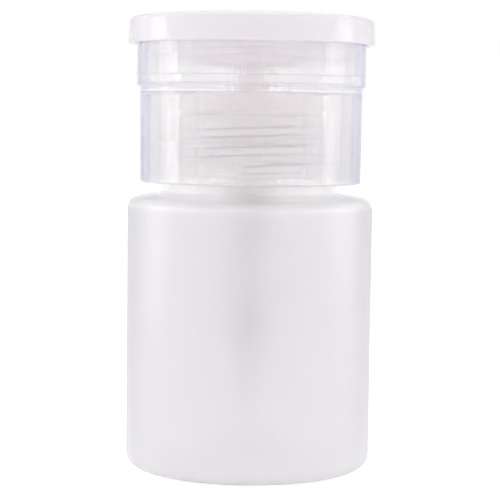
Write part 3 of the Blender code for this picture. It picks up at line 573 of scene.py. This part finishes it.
# Painted shade: the closed turns are painted near-black, for the shade they cast on each other.
painted_shade_wire = spring_steel.between(drawn, (0.02, 0.025, 0.05), (0.07, 0.08, 0.12))
spring_steel.surface(
    Base_Color=spring_steel.between(open_turns, painted_shade_wire, bright_wire),
    Metallic=1.0,
    Roughness=0.25 + 0.15 * drawn,
)
SPRING_BASE = 21.9
SPRING_POINTS = 32
COIL_RADIUS = 1.5
WIRE_RADIUS = 0.3
wire_height = WIRE_RADIUS
wire_heights = []
for turns, rise in ((4, 1.1), (6, 12.8 / 6), (3, 1.1)):
    for step in range(turns * SPRING_POINTS):
        wire_heights.append(wire_height)
        wire_height += rise / SPRING_POINTS
wire_heights.append(wire_height)
coil = bpy.data.curves.new("coil_spring", "CURVE")
coil.dimensions = "3D"
line = coil.splines.new("POLY")
line.points.add(len(wire_heights) - 1)
for index, wire_height in enumerate(wire_heights):
    turn = 2 * math.pi * index / SPRING_POINTS
    line.points[index].co = (COIL_RADIUS * MM * math.cos(turn), COIL_RADIUS * MM * math.sin(turn),
                             (SPRING_BASE + wire_height) * MM, 1)
coil.bevel_depth = WIRE_RADIUS * MM
coil.bevel_resolution = 3
coil.use_fill_caps = True
spring = bpy.data.objects.new("coil_spring", coil)
bpy.context.scene.collection.objects.link(spring)
bpy.ops.object.select_all(action="DESELECT")
spring.select_set(True)
bpy.context.view_layer.objects.active = spring
bpy.ops.object.convert(target="MESH")
spring = bpy.context.object
closed_up(spring)
smooth(spring, 50)
spring.data.materials.append(spring_steel.material)
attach(spring, "pump")
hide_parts("return_spring")
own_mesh(spring)

# Plunger and piston seal
# The plunger is moulded in the milky plastic. Its head takes the spring's push, and its rod reaches up
# into the stem and carries the seal, a soft polyethylene sleeve whose two lips slide in the housing.
plunger = turned("plunger_rod", [
    (0, 54.0, 0), (0.8, 54.0, 0.3), (0.8, 44.0, 0.15), (2.6, 44.0, 0.15), (2.6, 43.3, 0.15),
    (0.8, 43.3, 0.15), (0.8, 40.6, 0.3), (0, 40.6, 0),
], steps=64)
smooth(plunger)
plunger.data.materials.append(milky_plastic.material)
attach(plunger, "actuator")
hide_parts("plunger")
seal_plastic = natural("seal_polyethylene", (0.92, 0.92, 0.93), (0.95, 0.95, 0.96),
                       clearness=0.3, roughness=0.4, haze=0.8)
seal = turned("piston_lips", [
    (3.1, 48.2, 0.1), (3.1, 47.4, 0.3), (2.5, 46.8, 0.3), (2.5, 45.7, 0.3), (3.1, 45.1, 0.3),
    (3.1, 44.3, 0.1), (1.1, 44.3, 0.15), (1.1, 48.2, 0.15),
], steps=64, ring=True)
smooth(seal)
seal.data.materials.append(seal_plastic.material)
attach(seal, "actuator")
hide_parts("piston_seal")

# Pump stem
# The hollow stem, moulded in the milky plastic, leads the liquid from the piston to the nozzle. A ball
# closes the throat at its top.
stem = turned("hollow_stem", [
    (1.9, 69.0, 0.1), (1.9, 57.7, 0.15), (3.05, 57.7, 0.2), (3.05, 56.5, 0.2), (1.9, 56.5, 0.15),
    (1.9, 48.5, 0.1), (1.1, 48.5, 0.1), (1.1, 67.65, 0.15), (0.7, 68.05, 0.1), (0.7, 68.3, 0.05),
    (1.4, 69.0, 0.05),
], steps=64, ring=True)
smooth(stem)
stem.data.materials.append(milky_plastic.material)
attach(stem, "actuator")
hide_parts("pump_stem")

# Press dish
# The shallow dish is moulded in clear natural polypropylene and snapped on the stem by its hub. Its
# floor drains to the middle, round the nozzle.
dish_plastic = natural("dish_polypropylene", (0.975, 0.962, 0.97), (0.98, 0.967, 0.975),
                       clearness=0.6, roughness=0.08, haze=0.4)
dish = turned("pad_dish", [
    (18.15, 72.6, 0.35), (18.15, 70.25, 0.15), (17.25, 70.25, 0.15), (17.25, 70.65, 0.3),
    (9.0, 68.7, 2.0), (3.2, 68.7, 0.4), (3.2, 65.0, 0.35), (2.2, 65.0, 0.15), (2.2, 69.9, 0.1),
    (2.9, 69.9, 0.15), (2.9, 69.6, 0.1), (9.0, 69.6, 2.0), (17.25, 71.55, 0.5), (17.25, 72.6, 0.35),
], ring=True)
smooth(dish)
dish.data.materials.append(dish_plastic.material)
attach(dish, "actuator")
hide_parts("press_dish")

# Nozzle cap
# A pierced cap in the milky plastic, pressed on in the middle of the dish. It keeps the upper ball in
# its chamber and lets the liquid out.
nozzle = turned("nozzle_tip", [
    (2.1, 71.971, 0.35), (2.1, 70.8, 0.2), (2.9, 70.8, 0.15), (2.9, 70.2, 0.15), (1.9, 70.2, 0.08),
    (1.9, 69.3, 0.08), (1.5, 69.3, 0.05), (1.5, 71.371, 0.15), (0.45, 71.371, 0.08),
    (0.45, 71.971, 0.12),
], steps=64, ring=True)
smooth(nozzle)
nozzle.data.materials.append(milky_plastic.material)
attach(nozzle, "actuator")
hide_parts("nozzle_cap")

# Flip lid
# A crowned cap in the closure's plastic, whose skirt rests over the band. A plug under it seals the
# nozzle, and behind it an arm ends in a barrel with a trunnion at each end, sprung into the lugs.
lid_plastic = natural("lid_polypropylene", (0.957, 0.930, 0.957), (0.967, 0.940, 0.964),
                      clearness=0.32, roughness=0.05, haze=0.7, edge_haze=1.0,
                      edge_tint=(0.74, 0.71, 0.78), coat=0.6)
LID_RADIUS = 21.2
CROWN_RISE = 1.5


def crown(rim, radii):
    """Corners along the lid's crown, which rises from its rim's height to the middle."""
    return [(radius, rim + CROWN_RISE * (1 - (radius / LID_RADIUS) ** 2), 0) for radius in radii]


lid = turned("lid_moulding", [
    *crown(77.0, [21.05 * step / 24 for step in range(24)]),
    (21.05, 77.0, 0.87), (LID_RADIUS, 72.6, 0.35), (20.05, 72.6, 0.35), (20.05, 75.7, 0.35),
    *crown(75.7, [19.18 - 16.83 * step / 16 for step in range(17)]),
    (2.35, 72.271, 0.35), (1.5, 72.271, 0.2), *crown(75.7, [1.5, 0]),
])
arm_outline = [(20.3375, 73.6), (20.9125, 73.6), (21.75, HINGE_Z), (19.95, HINGE_Z)]
joined(lid, plate("hinge_arm", arm_outline, -2.3, 2.3))
joined(lid, rod("hinge_barrel", 0.9, -2.3, 2.3, HINGE_Y, HINGE_Z))
joined(lid, rod("hinge_trunnions", 0.5, -4.1, 4.1, HINGE_Y, HINGE_Z))
smooth(lid)
lid.data.materials.append(lid_plastic.material)
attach(lid, "lid")
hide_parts("flip_lid")

# Floor, light and camera
# A white table and white surroundings, a tall soft light on each side and a broad one above.
bpy.ops.object.select_all(action="DESELECT")
bpy.ops.mesh.primitive_plane_add(size=8)
floor = bpy.context.object
floor.name = "floor"
white_table = Finish("white_table")
lit = white_table.node("BsdfDiffuse", {}, {"Color": (0.97, 0.97, 0.97, 1)})
glow = white_table.node("Emission", {}, {"Color": (1, 1, 1, 1), "Strength": 0.25})
both = white_table.node("AddShader", {}, {0: lit, 1: glow})
seen = white_table.node("LightPath", output="Is Camera Ray")
white_table.shown(white_table.node("MixShader", {}, {0: seen, 1: lit, 2: both}))
floor.data.materials.append(white_table.material)

# The camera, reflections and clear plastic see plain white. What falls on the object is a little less.
ROOM_LIGHT = 0.87
room = Finish("white_room", bpy.data.worlds, "OutputWorld")
looked_at, mirrored, seen_through = (
    room.node("LightPath", output="Is %s Ray" % ray) for ray in ("Camera", "Glossy", "Transmission"))
plain_view = mirrored + seen_through + looked_at
level = room.node("MapRange", {}, {"Value": plain_view, "To Min": ROOM_LIGHT, "To Max": 1.0})
room.shown(room.node("Background", {}, {"Color": (1, 1, 1, 1), "Strength": level}))
bpy.context.scene.world = room.material


def softbox(name, place, target, width, height, power):
    """Area light that faces a point."""
    light = bpy.data.lights.new(name, "AREA")
    light.shape = "RECTANGLE"
    light.size = width
    light.size_y = height
    light.energy = power
    lamp = bpy.data.objects.new(name, light)
    bpy.context.scene.collection.objects.link(lamp)
    lamp.location = place
    lamp.rotation_euler = (Vector(target) - Vector(place)).to_track_quat("-Z", "Y").to_euler()


middle = (0, 0, 0.06)
softbox("left_softbox", (-0.45, 0.03, 0.17), middle, 0.16, 0.38, 0.35)
softbox("right_softbox", (0.45, 0.03, 0.17), middle, 0.16, 0.38, 0.29)
softbox("top_softbox", (0, 0.05, 0.6), middle, 0.4, 0.4, 0.5)

EYE = Vector((0.0001, -0.300, 0.0603))
AIM = Vector((0.0001, 0, 0.0373))
ROLL = math.radians(0.7)
lens = bpy.data.cameras.new("camera")
lens.sensor_width = 36
lens.lens = 125
lens.clip_start = 0.01
camera = bpy.data.objects.new("camera", lens)
bpy.context.scene.collection.objects.link(camera)
camera.location = EYE
camera.rotation_mode = "QUATERNION"
level_look = (AIM - EYE).to_track_quat("-Z", "Y")
camera.rotation_quaternion = level_look @ Matrix.Rotation(ROLL, 3, "Z").to_quaternion()
bpy.context.scene.camera = camera
bpy.context.scene.view_settings.view_transform = "Standard"
# Light crosses a dozen plastic walls on its way, so its paths are long and none is blurred.
paths = bpy.context.scene.cycles
paths.max_bounces = 32
paths.transmission_bounces = 32
paths.glossy_bounces = 8
paths.diffuse_bounces = 12
paths.transparent_max_bounces = 48
paths.blur_glossy = 0
